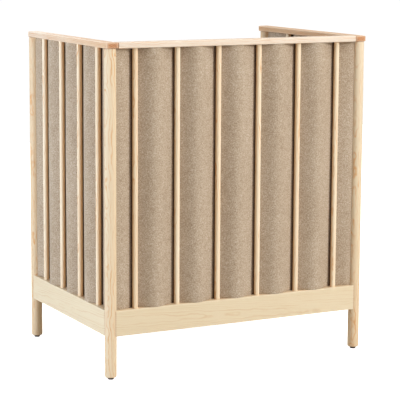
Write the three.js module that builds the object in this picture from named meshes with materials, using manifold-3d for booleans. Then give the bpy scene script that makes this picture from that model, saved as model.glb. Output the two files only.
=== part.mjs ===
// A tall three-sided playpen: round legs, square-cut rails, round bars and woven felt walls.
// Millimetres, +Z up, origin on the floor under the middle of the pen.
// The wide wall faces -Y, the short walls face -X and +X, and the +Y side is open.
import * as THREE from "three";
import { mergeVertices } from "three/addons/utils/BufferGeometryUtils.js";
import Module from "manifold-3d";

const wasm = await Module();
wasm.setup();

// Driving dimensions
const HEIGHT = 1000;
const LEG_SPAN_X = 850;
const LEG_SPAN_Y = 586;
const GAP = 0.3;
const OVERCUT = 2; // how far a cutting shape runs past the face it cuts

const LEG_RADIUS = 17.5;
const LEG_SIDES = 24;
const LEG_CHAMFER = 2.5;
const LEG_BOTTOM = 6.5;
const SPIGOT_RADIUS = 8;
const SPIGOT_LENGTH = 10;

const TOP_RAIL_THICK = 18;
const TOP_RAIL_OUT = 17;
const TOP_RAIL_IN = 20;
const TONGUE = { length: 20, width: 22, thick: 6 };

const LOWER_RAIL_BOTTOM = 131;
const LOWER_RAIL_TOP = 208;
const LOWER_RAIL_OUT = 15.5;
const LOWER_RAIL_IN = 17.5;
const TENON = { thick: 12, height: 50, tip: 8, root: 4 };
const MITRE_REACH = 70;

const BAR_RADIUS = 8.2;
const BAR_SIDES = 16;
const BAR_HALF_PITCH = 69;
const BAR_SOCKET = 12;
const BAR_CHAMFER = 1.5;
const FRONT_BARS = 11;
const SIDE_BARS = 7;

const FELT_THICK = 3;
const FELT_WAVE = 15.5;
const FELT_MIDDLE = 1;
const FELT_AT_LEG = -2;
const FELT_STEPS = 16;
const FELT_STRAIGHT = 24;
const FELT_END = 10;
const FELT_SLOPE_STEP = 0.5;
const FELT_GROOVE_BOTTOM = 9.5;

const INSERT = { radius: 6, bore: 4.4, length: 20, depth: 1 };
const GLIDE = { padRadius: 9, padHeight: 6.2, chamfer: 1, stemRadius: 4, stemLength: 24 };
const GLIDE_HOLE_DEPTH = 38;

const CLEAT = { size: 20, bottom: 140, inset: 24 };
const BASE_THICK = 12;
const BASE_CLEARANCE = 1;
const MAT = { thick: 30, clearance: 7, corner: 25, cornerSteps: 5 };

// Levels and places worked out from them
const TOP_RAIL_BOTTOM = HEIGHT - TOP_RAIL_THICK;
const HALF_X = LEG_SPAN_X / 2;
const HALF_Y = LEG_SPAN_Y / 2;
const FELT_BOTTOM = LOWER_RAIL_TOP + GAP;
const FELT_TOP = TOP_RAIL_BOTTOM - GAP;

const WOOD = { color: 0xe8d6b7, roughness: 0.55, metalness: 0 };
const RAIL_WOOD = { color: 0xeddcc0, roughness: 0.55, metalness: 0 };
const BAR_WOOD = { color: 0xeedcb8, roughness: 0.5, metalness: 0 };
const FELT = { color: 0xb9a791, roughness: 0.97, metalness: 0 };
const DARK_PLASTIC = { color: 0x4a4a4a, roughness: 0.6, metalness: 0 };
const ZINC = { color: 0xa8a8a4, roughness: 0.35, metalness: 1 };
const PLYWOOD = { color: 0xdcc9a5, roughness: 0.6, metalness: 0 };
const MAT_COTTON = { color: 0xcfc6b8, roughness: 0.95, metalness: 0 };

// Solid tools: closed geometry to a boolean solid and back
function solid(geometry) {
  geometry.deleteAttribute("normal");
  geometry.deleteAttribute("uv");
  const merged = mergeVertices(geometry);
  return new wasm.Manifold(new wasm.Mesh({
    numProp: 3,
    vertProperties: new Float32Array(merged.attributes.position.array),
    triVerts: new Uint32Array(merged.index.array),
  }));
}

function geometryOf(manifold) {
  const mesh = manifold.getMesh();
  const geometry = new THREE.BufferGeometry();
  geometry.setAttribute("position", new THREE.BufferAttribute(new Float32Array(mesh.vertProperties), 3));
  geometry.setIndex(new THREE.BufferAttribute(new Uint32Array(mesh.triVerts), 1));
  geometry.computeVertexNormals();
  return geometry;
}

function block(x0, x1, y0, y1, z0, z1) {
  const geometry = new THREE.BoxGeometry(x1 - x0, y1 - y0, z1 - z0);
  geometry.translate((x0 + x1) / 2, (y0 + y1) / 2, (z0 + z1) / 2);
  return geometry;
}

// A body turned about the Z axis from (radius, height) points that start and end on the axis
function turned(points, sides) {
  const geometry = new THREE.LatheGeometry(points.map(([r, z]) => new THREE.Vector2(r, z)), sides);
  geometry.rotateX(Math.PI / 2);
  return geometry;
}

function rod(radius, z0, z1, sides) {
  return turned([[0, z0], [radius, z0], [radius, z1], [0, z1]], sides);
}

const root = new THREE.Group();

function place(parent, name, geometry, finish, position = [0, 0, 0]) {
  const mesh = new THREE.Mesh(geometry, new THREE.MeshStandardMaterial(finish));
  mesh.name = name;
  mesh.position.set(...position);
  parent.add(mesh);
}

// A wall is drawn along its own +X, with its outer side towards -Y, between leg axes at x = 0 and x = span.
function wallGroup(x, y, turn) {
  const group = new THREE.Group();
  group.position.set(x, y, 0);
  group.rotation.z = turn;
  root.add(group);
  return group;
}

const WALLS = {
  front: { span: LEG_SPAN_X, bars: FRONT_BARS, group: wallGroup(-HALF_X, -HALF_Y, 0) },
  left: { span: LEG_SPAN_Y, bars: SIDE_BARS, group: wallGroup(-HALF_X, HALF_Y, -Math.PI / 2) },
  right: { span: LEG_SPAN_Y, bars: SIDE_BARS, group: wallGroup(HALF_X, -HALF_Y, Math.PI / 2) },
  back: { span: LEG_SPAN_X, bars: 0, group: wallGroup(HALF_X, HALF_Y, Math.PI) },
};

function firstBar({ span, bars }) {
  return (span - (bars - 1) * BAR_HALF_PITCH) / 2;
}

function barPlaces(wall) {
  return Array.from({ length: wall.bars }, (_, i) => firstBar(wall) + i * BAR_HALF_PITCH);
}

// Legs: chamfered foot, spigot on top, screw hole below, a mortise and a felt groove for each wall
function leg(sides) {
  let body = solid(turned([
    [0, LEG_BOTTOM],
    [LEG_RADIUS - LEG_CHAMFER, LEG_BOTTOM],
    [LEG_RADIUS, LEG_BOTTOM + LEG_CHAMFER],
    [LEG_RADIUS, TOP_RAIL_BOTTOM - GAP],
    [SPIGOT_RADIUS, TOP_RAIL_BOTTOM - GAP],
    [SPIGOT_RADIUS, TOP_RAIL_BOTTOM + SPIGOT_LENGTH],
    [0, TOP_RAIL_BOTTOM + SPIGOT_LENGTH],
  ], LEG_SIDES));
  const hole = rod(INSERT.radius + GAP, LEG_BOTTOM - OVERCUT, LEG_BOTTOM + GLIDE_HOLE_DEPTH, BAR_SIDES);
  body = body.subtract(solid(hole));
  const open = LEG_RADIUS + OVERCUT;
  for (const { angle, flip, felt } of sides) {
    const half = TENON.thick / 2 + GAP;
    const middle = (LOWER_RAIL_BOTTOM + LOWER_RAIL_TOP) / 2;
    const reach = TENON.height / 2 + GAP;
    const mortise = block(TENON.tip - GAP, open, -half, half, middle - reach, middle + reach);
    mortise.rotateZ(angle);
    body = body.subtract(solid(mortise));
    if (felt) {
      const side = FELT_AT_LEG * flip;
      const slot = FELT_THICK / 2 + GAP;
      const [low, high] = [side - slot, side + slot];
      const groove = block(FELT_GROOVE_BOTTOM, open, low, high, LOWER_RAIL_TOP, TOP_RAIL_BOTTOM);
      groove.rotateZ(angle);
      body = body.subtract(solid(groove));
    }
  }
  return geometryOf(body);
}

// Each leg's joints: the direction of the rail, and which side of it is the outer one
const EAST = 0;
const NORTH = Math.PI / 2;
const WEST = Math.PI;
const SOUTH = -Math.PI / 2;
const LEGS = {
  front_left: {
    at: [-HALF_X, -HALF_Y],
    sides: [{ angle: EAST, flip: 1, felt: true }, { angle: NORTH, flip: -1, felt: true }],
  },
  front_right: {
    at: [HALF_X, -HALF_Y],
    sides: [{ angle: WEST, flip: -1, felt: true }, { angle: NORTH, flip: 1, felt: true }],
  },
  back_left: {
    at: [-HALF_X, HALF_Y],
    sides: [{ angle: SOUTH, flip: 1, felt: true }, { angle: EAST, flip: -1, felt: false }],
  },
  back_right: {
    at: [HALF_X, HALF_Y],
    sides: [{ angle: SOUTH, flip: -1, felt: true }, { angle: WEST, flip: 1, felt: false }],
  },
};

// A ring pressed into the foot of a leg, which the glide's stem screws into
function threadedInsert() {
  const bottom = LEG_BOTTOM + INSERT.depth;
  const top = bottom + INSERT.length;
  return turned([
    [INSERT.bore, bottom],
    [INSERT.radius, bottom],
    [INSERT.radius, top],
    [INSERT.bore, top],
    [INSERT.bore, bottom],
  ], BAR_SIDES);
}

function glide() {
  return turned([
    [0, 0],
    [GLIDE.padRadius - GLIDE.chamfer, 0],
    [GLIDE.padRadius, GLIDE.chamfer],
    [GLIDE.padRadius, GLIDE.padHeight],
    [GLIDE.stemRadius, GLIDE.padHeight],
    [GLIDE.stemRadius, GLIDE.padHeight + GLIDE.stemLength],
    [0, GLIDE.padHeight + GLIDE.stemLength],
  ], BAR_SIDES);
}

// Top rails: the short ones run through to the front and back, the wide one stands between them
function sideTopRail() {
  const start = -TOP_RAIL_OUT;
  const end = LEG_SPAN_Y + TOP_RAIL_OUT;
  let rail = solid(block(start, end, -TOP_RAIL_OUT, TOP_RAIL_IN, TOP_RAIL_BOTTOM, HEIGHT));
  for (const x of [0, LEG_SPAN_Y]) {
    rail = rail.subtract(socketFromBelow(x, SPIGOT_RADIUS + GAP, SPIGOT_LENGTH + GAP));
  }
  for (const x of barPlaces(WALLS.left)) {
    rail = rail.subtract(socketFromBelow(x, BAR_RADIUS + GAP, SPIGOT_LENGTH + GAP));
  }
  return rail;
}

function socketFromBelow(x, radius, depth) {
  const tool = rod(radius, TOP_RAIL_BOTTOM - OVERCUT, TOP_RAIL_BOTTOM + depth, BAR_SIDES);
  tool.translate(x, 0, 0);
  return solid(tool);
}

function socketFromAbove(x) {
  const bottom = LOWER_RAIL_TOP - BAR_SOCKET - GAP;
  const tool = rod(BAR_RADIUS + GAP, bottom, LOWER_RAIL_TOP + OVERCUT, BAR_SIDES);
  tool.translate(x, 0, 0);
  return solid(tool);
}

// The loose tongue that joins a wide top rail to a short one, centred on its joint
function tongueBlock(x, y, along, extra) {
  const halfLength = TONGUE.length / 2 + extra;
  const halfWidth = TONGUE.width / 2 + extra;
  const halfThick = TONGUE.thick / 2 + extra;
  const middle = (TOP_RAIL_BOTTOM + HEIGHT) / 2;
  const [dx, dy] = along === "x" ? [halfLength, halfWidth] : [halfWidth, halfLength];
  return block(x - dx, x + dx, y - dy, y + dy, middle - halfThick, middle + halfThick);
}

const TONGUE_Y = (TOP_RAIL_IN - TOP_RAIL_OUT) / 2;

function frontTopRail() {
  const end = TOP_RAIL_IN + GAP;
  let rail = solid(block(end, LEG_SPAN_X - end, -TOP_RAIL_OUT, TOP_RAIL_IN, TOP_RAIL_BOTTOM, HEIGHT));
  for (const x of barPlaces(WALLS.front)) {
    rail = rail.subtract(socketFromBelow(x, BAR_RADIUS + GAP, SPIGOT_LENGTH + GAP));
  }
  for (const x of [TOP_RAIL_IN, LEG_SPAN_X - TOP_RAIL_IN]) {
    rail = rail.subtract(solid(tongueBlock(x, TONGUE_Y, "x", GAP)));
  }
  return geometryOf(rail);
}

// Lower rails: coped round the legs, mitred behind them, with a stub tenon at each end
function lowerRail({ span, bars }) {
  let rail = solid(block(0, span, -LOWER_RAIL_OUT, LOWER_RAIL_IN, LOWER_RAIL_BOTTOM, LOWER_RAIL_TOP));
  const low = LOWER_RAIL_BOTTOM - OVERCUT;
  const high = LOWER_RAIL_TOP + OVERCUT;
  for (const [x, inward] of [[0, 1], [span, -1]]) {
    const cope = rod(LEG_RADIUS + GAP, low, high, LEG_SIDES);
    cope.translate(x, 0, 0);
    rail = rail.subtract(solid(cope));
    const mitre = block(-MITRE_REACH, GAP, -MITRE_REACH, MITRE_REACH, low, high);
    mitre.rotateZ(-Math.PI / 4 * inward + (inward < 0 ? Math.PI : 0));
    mitre.translate(x, 0, 0);
    rail = rail.subtract(solid(mitre));
    const middle = (LOWER_RAIL_BOTTOM + LOWER_RAIL_TOP) / 2;
    const tip = x + inward * TENON.tip;
    const base = x + inward * (LEG_RADIUS + TENON.root);
    const [start, end] = [Math.min(tip, base), Math.max(tip, base)];
    const half = TENON.thick / 2;
    const reach = TENON.height / 2;
    rail = rail.add(solid(block(start, end, -half, half, middle - reach, middle + reach)));
  }
  for (const x of barPlaces({ span, bars })) {
    rail = rail.subtract(socketFromAbove(x));
  }
  return geometryOf(rail);
}

function bar() {
  const bottom = LOWER_RAIL_TOP - BAR_SOCKET;
  const top = TOP_RAIL_BOTTOM + SPIGOT_LENGTH;
  return turned([
    [0, bottom],
    [BAR_RADIUS - BAR_CHAMFER, bottom],
    [BAR_RADIUS, bottom + BAR_CHAMFER],
    [BAR_RADIUS, top - BAR_CHAMFER],
    [BAR_RADIUS - BAR_CHAMFER, top],
    [0, top],
  ], BAR_SIDES);
}

// Felt walls: woven inside every odd bar and outside every even one, with the ends in the leg grooves.
// feltLine gives the middle of the felt's thickness at x along a wall.
function feltLine(x, wall) {
  const first = firstBar(wall);
  const fromLeg = Math.min(x, wall.span - x);
  if (fromLeg < FELT_STRAIGHT) {
    return FELT_AT_LEG;
  }
  if (fromLeg < first) {
    const rise = FELT_MIDDLE + FELT_WAVE - FELT_AT_LEG;
    const part = (fromLeg - FELT_STRAIGHT) / (first - FELT_STRAIGHT);
    return FELT_AT_LEG + rise * (1 - Math.cos(Math.PI * part)) / 2;
  }
  return FELT_MIDDLE + FELT_WAVE * Math.cos(Math.PI * (x - first) / BAR_HALF_PITCH);
}

function feltStations(wall) {
  const first = firstBar(wall);
  const halfSteps = FELT_STEPS / 2;
  const lead = (first - FELT_STRAIGHT) / halfSteps;
  const start = Array.from({ length: halfSteps }, (_, i) => FELT_STRAIGHT + lead * i);
  const waves = (wall.bars - 1) * halfSteps;
  const middle = Array.from({ length: waves + 1 }, (_, i) => first + BAR_HALF_PITCH * i / halfSteps);
  const end = start.map((x) => wall.span - x).reverse();
  return [FELT_END, ...start, ...middle, ...end, wall.span - FELT_END];
}

function feltPanel(wall) {
  const stations = feltStations(wall);
  const outer = [];
  const inner = [];
  for (const x of stations) {
    const rise = feltLine(x + FELT_SLOPE_STEP, wall) - feltLine(x - FELT_SLOPE_STEP, wall);
    const slope = rise / (2 * FELT_SLOPE_STEP);
    const length = Math.hypot(1, slope);
    const dx = -slope / length * FELT_THICK / 2;
    const dy = 1 / length * FELT_THICK / 2;
    outer.push(new THREE.Vector2(x - dx, feltLine(x, wall) - dy));
    inner.push(new THREE.Vector2(x + dx, feltLine(x, wall) + dy));
  }
  const shape = new THREE.Shape([...outer, ...inner.reverse()]);
  const geometry = new THREE.ExtrudeGeometry(shape, { depth: FELT_TOP - FELT_BOTTOM, bevelEnabled: false });
  geometry.translate(0, 0, FELT_BOTTOM);
  return geometry;
}

// The floor: cleats on the rails' inner faces, a plywood board on them and a loose mat on top
function cleat(span) {
  const start = LOWER_RAIL_IN + CLEAT.inset;
  const y = LOWER_RAIL_IN + GAP;
  return block(start, span - start, y, y + CLEAT.size, CLEAT.bottom, CLEAT.bottom + CLEAT.size);
}

const BASE_BOTTOM = CLEAT.bottom + CLEAT.size + GAP;
const MAT_BOTTOM = BASE_BOTTOM + BASE_THICK + GAP;

function baseBoard() {
  const x = HALF_X - LOWER_RAIL_IN - BASE_CLEARANCE;
  const y = HALF_Y - LOWER_RAIL_IN - BASE_CLEARANCE;
  return block(-x, x, -y, y, BASE_BOTTOM, BASE_BOTTOM + BASE_THICK);
}

function mat() {
  const x = HALF_X - LOWER_RAIL_IN - MAT.clearance;
  const y = HALF_Y - LOWER_RAIL_IN - MAT.clearance;
  const outline = new THREE.Shape();
  outline.absarc(x - MAT.corner, y - MAT.corner, MAT.corner, 0, NORTH);
  outline.absarc(-x + MAT.corner, y - MAT.corner, MAT.corner, NORTH, WEST);
  outline.absarc(-x + MAT.corner, -y + MAT.corner, MAT.corner, WEST, WEST + NORTH);
  outline.absarc(x - MAT.corner, -y + MAT.corner, MAT.corner, WEST + NORTH, 2 * WEST);
  const settings = { depth: MAT.thick, bevelEnabled: false, curveSegments: MAT.cornerSteps };
  const geometry = new THREE.ExtrudeGeometry(outline, settings);
  geometry.translate(0, 0, MAT_BOTTOM);
  return geometry;
}

// Assembly
for (const [corner, { at, sides }] of Object.entries(LEGS)) {
  place(root, `leg_${corner}`, leg(sides), WOOD, [...at, 0]);
  place(root, `threaded_insert_${corner}`, threadedInsert(), ZINC, [...at, 0]);
  place(root, `glide_${corner}`, glide(), DARK_PLASTIC, [...at, 0]);
}

// The left wall runs from back to front and the right one from front to back, so the joint with the wide
// rail is at the end of the left rail and the start of the right one.
for (const [name, x] of [["left", LEG_SPAN_Y - TONGUE_Y], ["right", TONGUE_Y]]) {
  const slot = solid(tongueBlock(x, TOP_RAIL_IN, "y", GAP));
  place(WALLS[name].group, `top_rail_${name}`, geometryOf(sideTopRail().subtract(slot)), RAIL_WOOD);
}
place(WALLS.front.group, "top_rail_front", frontTopRail(), RAIL_WOOD);
for (const [name, x] of [["left", TOP_RAIL_IN], ["right", LEG_SPAN_X - TOP_RAIL_IN]]) {
  place(WALLS.front.group, `rail_tongue_${name}`, tongueBlock(x, TONGUE_Y, "x", 0), WOOD);
}

for (const [name, wall] of Object.entries(WALLS)) {
  place(wall.group, `lower_rail_${name}`, lowerRail(wall), RAIL_WOOD);
  place(wall.group, `base_cleat_${name}`, cleat(wall.span), WOOD);
  barPlaces(wall).forEach((x, i) => {
    place(wall.group, `bar_${name}_${i + 1}`, bar(), BAR_WOOD, [x, 0, 0]);
  });
  if (wall.bars > 0) {
    place(wall.group, `felt_wall_${name}`, feltPanel(wall), FELT);
  }
}

place(root, "base_board", baseBoard(), PLYWOOD);
place(root, "floor_mat", mat(), MAT_COTTON);

export default root;
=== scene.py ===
import math

import bpy
import numpy as np
from mathutils import Matrix, Vector, noise
from mathutils.bvhtree import BVHTree


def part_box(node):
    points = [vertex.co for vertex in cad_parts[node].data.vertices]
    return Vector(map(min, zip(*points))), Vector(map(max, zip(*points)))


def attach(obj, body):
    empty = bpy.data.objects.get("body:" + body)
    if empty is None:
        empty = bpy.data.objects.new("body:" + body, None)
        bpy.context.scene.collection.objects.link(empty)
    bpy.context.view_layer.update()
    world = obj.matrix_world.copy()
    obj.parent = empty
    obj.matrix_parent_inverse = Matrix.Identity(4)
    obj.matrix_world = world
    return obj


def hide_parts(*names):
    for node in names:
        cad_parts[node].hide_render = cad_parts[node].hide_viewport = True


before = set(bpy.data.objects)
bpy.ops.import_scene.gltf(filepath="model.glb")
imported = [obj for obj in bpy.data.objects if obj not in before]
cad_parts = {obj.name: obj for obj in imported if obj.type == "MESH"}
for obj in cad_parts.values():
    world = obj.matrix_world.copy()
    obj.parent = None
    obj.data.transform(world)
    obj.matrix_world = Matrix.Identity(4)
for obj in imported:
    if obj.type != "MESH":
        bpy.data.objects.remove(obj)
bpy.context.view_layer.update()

MM = 0.001

# Camera: at the photograph's place, looking at the corner between the wide wall and the left one
CAMERA_PLACE = Vector((-2.3883, -4.6468, 1.3122))
CAMERA_YAW, CAMERA_PITCH, CAMERA_ROLL = (math.radians(a) for a in (27.415, 8.151, 0.31))
CAMERA_LENS, CAMERA_SENSOR, CAMERA_SHIFT_Y = 148.586, 36.0, -0.075
CAMERA_FARTHEST = 100


def make_camera():
    ahead = Vector((math.sin(CAMERA_YAW) * math.cos(CAMERA_PITCH),
                    math.cos(CAMERA_YAW) * math.cos(CAMERA_PITCH), -math.sin(CAMERA_PITCH)))
    level = Vector((math.cos(CAMERA_YAW), -math.sin(CAMERA_YAW), 0))
    above = level.cross(ahead)
    right = level * math.cos(CAMERA_ROLL) + above * math.sin(CAMERA_ROLL)
    up = above * math.cos(CAMERA_ROLL) - level * math.sin(CAMERA_ROLL)
    data = bpy.data.cameras.new("camera")
    data.lens, data.sensor_width, data.shift_y = CAMERA_LENS, CAMERA_SENSOR, CAMERA_SHIFT_Y
    data.clip_end = CAMERA_FARTHEST
    camera = bpy.data.objects.new("camera", data)
    bpy.context.scene.collection.objects.link(camera)
    turn = Matrix((right, up, -ahead)).transposed().to_4x4()
    camera.matrix_world = Matrix.Translation(CAMERA_PLACE) @ turn
    bpy.context.scene.camera = camera


make_camera()

# ---------------------------------------------------------------- shader building blocks


def node(tree, kind, inputs=(), **settings):
    """A shader node with its settings, and its inputs either set or linked."""
    made = tree.nodes.new("ShaderNode" + kind)
    for key, value in settings.items():
        setattr(made, key, value)
    for key, value in dict(inputs).items():
        if isinstance(value, bpy.types.NodeSocket):
            tree.links.new(value, made.inputs[key])
        else:
            made.inputs[key].default_value = value
    return made


def maths(tree, operation, *values):
    return node(tree, "Math", dict(enumerate(values)), operation=operation).outputs[0]


def plus(tree, a, b):
    return maths(tree, "ADD", a, b)


def times(tree, a, b):
    return maths(tree, "MULTIPLY", a, b)


def scaled(tree, vector, by):
    return node(tree, "VectorMath", {0: vector, 1: by}, operation="MULTIPLY").outputs[0]


def object_place(tree):
    return node(tree, "TexCoord").outputs["Object"]


def attribute(tree, name, output="Fac"):
    return node(tree, "Attribute", attribute_name=name).outputs[output]


def noisy(tree, vector, scale=1.0, detail=2.0, roughness=0.5, output="Fac"):
    inputs = {"Vector": vector, "Scale": scale, "Detail": detail, "Roughness": roughness}
    return node(tree, "TexNoise", inputs).outputs[output]


def pushed(tree, place, noise_place, scale, reach):
    """A place moved about by smooth noise, in proportion to reach along each axis."""
    push = noisy(tree, noise_place, scale, output="Color")
    push = node(tree, "VectorMath", {0: push, 1: (0.5, 0.5, 0.5)}, operation="SUBTRACT").outputs[0]
    return node(tree, "VectorMath", {0: scaled(tree, push, reach), 1: place}, operation="ADD").outputs[0]


def span(tree, value, low, high, to_low=0.0, to_high=1.0):
    """A value carried from one range to another, and held inside it."""
    return node(tree, "MapRange", {0: value, 1: low, 2: high, 3: to_low, 4: to_high}).outputs[0]


def mixed(tree, share, a, b, blend="MIX"):
    return node(tree, "Mix", {0: share, 6: a, 7: b}, data_type="RGBA", blend_type=blend).outputs[2]


def srgb(*channels):
    """A colour from 0 to 255 as the shader wants it."""
    values = [c / 255 for c in channels]
    return (*(v / 12.92 if v <= 0.04045 else ((v + 0.055) / 1.055) ** 2.4 for v in values), 1.0)


def ramp(tree, value, *stops):
    made = node(tree, "ValToRGB", {0: value})
    elements = made.color_ramp.elements
    while len(elements) < len(stops):
        elements.new(0.5)
    for element, (place, colour) in zip(elements, stops):
        element.position, element.color = place, colour
    return made.outputs[0]


def shader(name):
    material = bpy.data.materials.new(name)
    material.use_nodes = True
    return material, material.node_tree, material.node_tree.nodes["Principled BSDF"]


def dress(tree, surface, colour, roughness, height, strength, depth):
    """Links a surface's colour, its roughness and its relief."""
    tree.links.new(colour, surface.inputs["Base Color"])
    tree.links.new(roughness, surface.inputs["Roughness"])
    bump = node(tree, "Bump", {"Strength": strength, "Distance": depth, "Height": height})
    tree.links.new(bump.outputs[0], surface.inputs["Normal"])


# ---------------------------------------------------------------- materials

WOOD_DEEP_TONE_AND_SHADE = (0.86, 0.66, 0.47, 1)  # multiplies wood whose tone is 1; the tone is the wood's own warmth, and painted shade on the bars' felt side and the lower rails' tops
WOOD_BLEACHED = srgb(255, 248, 232)  # mixed half and half into wood whose tone is 0
# lighter edges: partly wear, partly a painted highlight
WOOD_WORN_AND_HIGHLIGHT = srgb(250, 238, 216)
EDGE_WEAR_AND_HIGHLIGHT_SHARE = 0.25  # of the edges' colour, which stands for their wear and also a painted highlight along them
END_SHADE = 0.66  # multiplies the early wood's colour in end grain
PLY_THICK = 0.00134
# painted shade: the felt's colour is multiplied by this in the crevices beside the bars
FELT_PAINTED_SHADE = (0.22, 0.16, 0.12, 1)


def early_wood(tree, place, ring, flame):
    """How deep a place is in a year's early wood, from 0 to 1. ring is a year's width, and flame is how far
    the rings wander."""
    early_middle, early_half = 0.16, 0.24
    bent = pushed(tree, place, scaled(tree, place, (17, 30, 30)), 1.0, (0, flame, flame))
    flat = scaled(tree, bent, (0, 1, 1))
    radius = node(tree, "VectorMath", {0: flat}, operation="LENGTH").outputs["Value"]
    uneven = noisy(tree, scaled(tree, place, (0.6, 0, 0)), detail=1.0)
    count = plus(tree, maths(tree, "DIVIDE", radius, ring), times(tree, uneven, 1.6))
    year_line = node(tree, "CombineXYZ", {0: times(tree, count, 0.37)}).outputs[0]
    count = plus(tree, count, times(tree, noisy(tree, year_line, detail=1.0), 1.3))
    year = maths(tree, "SUBTRACT", maths(tree, "FRACT", count), early_middle)
    return span(tree, maths(tree, "PINGPONG", year, 0.5), 0.0, early_half, 1.0, 0.0)


def wood_material(name, pale, tan, end, ring, flame, contrast=1.0):
    """Ash: rings round the board's own pith, open pores in each ring's early wood, and darker end grain."""
    material, tree, surface = shader(name)
    place = attribute(tree, "grain", "Vector")
    tone, ends, edge = (attribute(tree, a) for a in ("tone", "end_grain", "edge"))
    early = early_wood(tree, place, ring, flame)
    fibres = noisy(tree, scaled(tree, place, (9, 420, 420)), detail=3.0, roughness=0.6)
    pores = noisy(tree, scaled(tree, place, (75, 1500, 1500)), detail=1.0)
    clouds = noisy(tree, scaled(tree, place, (7, 60, 60)))
    pore = times(tree, span(tree, pores, 0.52, 0.66), plus(tree, times(tree, early, 0.85), 0.15))
    lines = times(tree, early, span(tree, clouds, 0.42, 0.68, 0.16 * contrast, 0.9 * contrast))
    lines = plus(tree, lines, span(tree, fibres, 0.35, 0.7, -0.10, 0.16))
    lines = plus(tree, lines, times(tree, pore, 0.28 * contrast))
    colour = mixed(tree, node(tree, "Clamp", {0: lines}).outputs[0], srgb(*pale), srgb(*tan))
    # Tone above a half darkens and warms the wood: its own colour, and painted shade where the tone carries
    # it.
    colour = mixed(tree, span(tree, tone, 0.5, 1.0), colour, WOOD_DEEP_TONE_AND_SHADE, "MULTIPLY")
    colour = mixed(tree, span(tree, tone, 0.5, 0.0, 0.0, 0.5), colour, WOOD_BLEACHED)
    cut_rings = srgb(*(c * END_SHADE for c in end))
    colour = mixed(tree, ends, colour, mixed(tree, span(tree, lines, 0.0, 0.9), srgb(*end), cut_rings))
    # Edges lightened: partly wear, partly a painted highlight.
    colour = mixed(tree, times(tree, edge, EDGE_WEAR_AND_HIGHLIGHT_SHARE), colour, WOOD_WORN_AND_HIGHLIGHT)
    rough = plus(tree, span(tree, fibres, 0.3, 0.7, 0.45, 0.58), times(tree, pore, 0.12))
    height = maths(tree, "SUBTRACT", times(tree, fibres, 0.35), times(tree, pore, 0.8))
    dress(tree, surface, colour, rough, height, 0.28, 0.0003)
    surface.inputs["Specular IOR Level"].default_value = 0.35
    return material


def plywood_material():
    """Rotary-cut birch faces, and the plies in their turn round the edge."""
    material, tree, surface = shader("birch_plywood")
    place = object_place(tree)
    flow = noisy(tree, scaled(tree, place, (1.4, 9, 0)), detail=3.0, roughness=0.55)
    arcs = maths(tree, "PINGPONG", times(tree, flow, 9.0), 0.5)
    fibres = noisy(tree, scaled(tree, place, (30, 900, 900)))
    figure = plus(tree, arcs, span(tree, fibres, 0.3, 0.7, -0.1, 0.2))
    face = mixed(tree, figure, srgb(231, 214, 184), srgb(203, 174, 133))
    level = node(tree, "SeparateXYZ", {0: place}).outputs[2]
    ply = maths(tree, "PINGPONG", maths(tree, "DIVIDE", level, PLY_THICK), 1.0)
    plies = mixed(tree, span(tree, ply, 0.42, 0.58), srgb(222, 199, 160), srgb(160, 117, 76))
    colour = mixed(tree, attribute(tree, "end_grain"), face, plies)
    dress(tree, surface, colour, span(tree, fibres, 0.3, 0.7, 0.5, 0.66), fibres, 0.3, 0.0002)
    return material


def felt_material():
    """Pressed wool: heathered fibres in several beiges, a soft nap, and painted shade in dark bands along
    the bars, where the crevices are.
    """
    material, tree, surface = shader("heathered_felt")
    place = object_place(tree)
    tangled = pushed(tree, place, place, 260.0, (0.005,) * 3)
    across = noisy(tree, scaled(tree, tangled, (900, 900, 260)))
    upward_shade_mask = noisy(tree, scaled(tree, tangled, (300, 300, 1100)))
    fibres = plus(tree, times(tree, across, 0.5), times(tree, upward_shade_mask, 0.5))
    grit = noisy(tree, place, 290.0, 2.0, 0.6)
    cloud = noisy(tree, place, 46.0, 3.0, 0.6)
    drift = noisy(tree, scaled(tree, place, (1, 1, 0.45)), 9.0)
    light = plus(tree, span(tree, fibres, 0.36, 0.64, 0.0, 0.34), span(tree, grit, 0.34, 0.66, 0.05, 0.42))
    light = plus(tree, light, span(tree, cloud, 0.3, 0.7, 0.0, 0.10))
    light = plus(tree, light, span(tree, drift, 0.3, 0.7, 0.0, 0.08))
    colour = ramp(tree, light, (0.0, srgb(118, 97, 75)), (0.35, srgb(170, 149, 125)),
                  (0.62, srgb(191, 173, 151)), (1.0, srgb(226, 215, 200)))
    # painted shade: darkens the felt in narrow bands beside the bars
    colour = mixed(tree, attribute(tree, "rub"), colour, FELT_PAINTED_SHADE, "MULTIPLY")
    height = plus(tree, times(tree, fibres, 0.6), times(tree, grit, 0.8))
    dress(tree, surface, colour, span(tree, grit, 0.3, 0.7, 0.9, 1.0), height, 0.5, 0.0009)
    surface.inputs["Specular IOR Level"].default_value = 0.12
    surface.inputs["Sheen Weight"].default_value = 0.25
    surface.inputs["Sheen Roughness"].default_value = 0.6
    surface.inputs["Sheen Tint"].default_value = srgb(235, 224, 208)
    return material


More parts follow.
